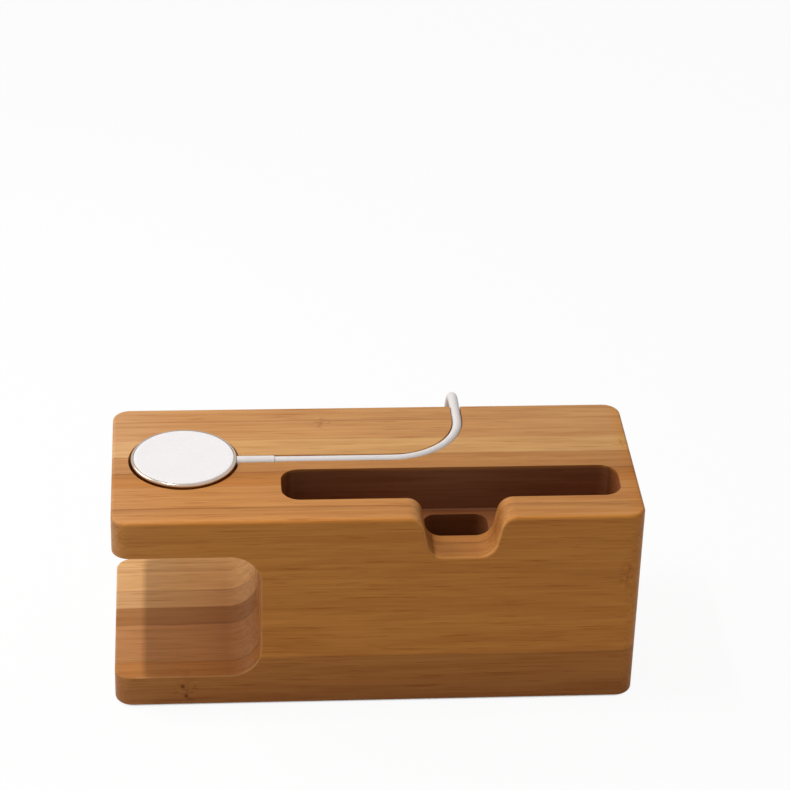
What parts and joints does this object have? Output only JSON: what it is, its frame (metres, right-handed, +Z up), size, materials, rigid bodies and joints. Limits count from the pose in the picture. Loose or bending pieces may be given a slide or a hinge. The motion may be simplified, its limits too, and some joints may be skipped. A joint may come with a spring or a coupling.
{
  "type": "charging station organizer",
  "caption": "Solid bamboo charging block with a phone slot, a finger notch, a strap gap through one end, and a round charging puck in its top with its cable and plug.",
  "frame": {"origin": "on the table, under the middle of the block", "axes": "+X along the block to the right, +Y from the front with the finger notch to the back, +Z up"},
  "size_m": [0.138, 0.12, 0.059],
  "materials": {
    "bamboo": "oiled, satin",
    "foot_rubber": "matte",
    "polished_steel": "mirror polish",
    "white_face": "gloss",
    "white_jacket": "satin",
    "white_moulding": "gloss",
    "tie_plastic": "satin",
    "plug_steel": "plated sheet",
    "plug_insulator": "satin",
    "contact_gold": "plated",
    "copper_winding": "enamelled",
    "ferrite": "matte",
    "nickel_magnet": "plated",
    "board_laminate": "solder mask",
    "component_black": "moulded",
    "film_amber": "film",
    "wire_jacket": "satin"
  },
  "bodies": {
    "dock": {"bamboo_block": "bamboo", "anti_slip_feet": "foot_rubber"},
    "charger": {"puck_shell": "polished_steel", "puck_cover": "white_face", "puck_strain_relief": "white_jacket", "induction_coil": "copper_winding", "ferrite_ring": "ferrite", "alignment_magnet": "nickel_magnet", "charge_board": "board_laminate", "board_parts": "component_black", "insulating_film": "film_amber", "lead_wires": "wire_jacket", "cable_groove_run": "white_jacket", "cable_back_drop": "white_jacket", "cable_coil": "white_jacket", "cable_tail": "white_jacket", "cable_tie": "tie_plastic", "plug_strain_relief": "white_jacket", "plug_housing": "white_moulding", "plug_shell": "plug_steel", "plug_tongue": "plug_insulator", "plug_contacts": "contact_gold"}
  },
  "joints": [
    {"name": "charger_lift", "type": "slide", "parent": "dock", "child": "charger", "axis": [0, 0, 1], "range_m": [0, 0.015]}
  ]
}
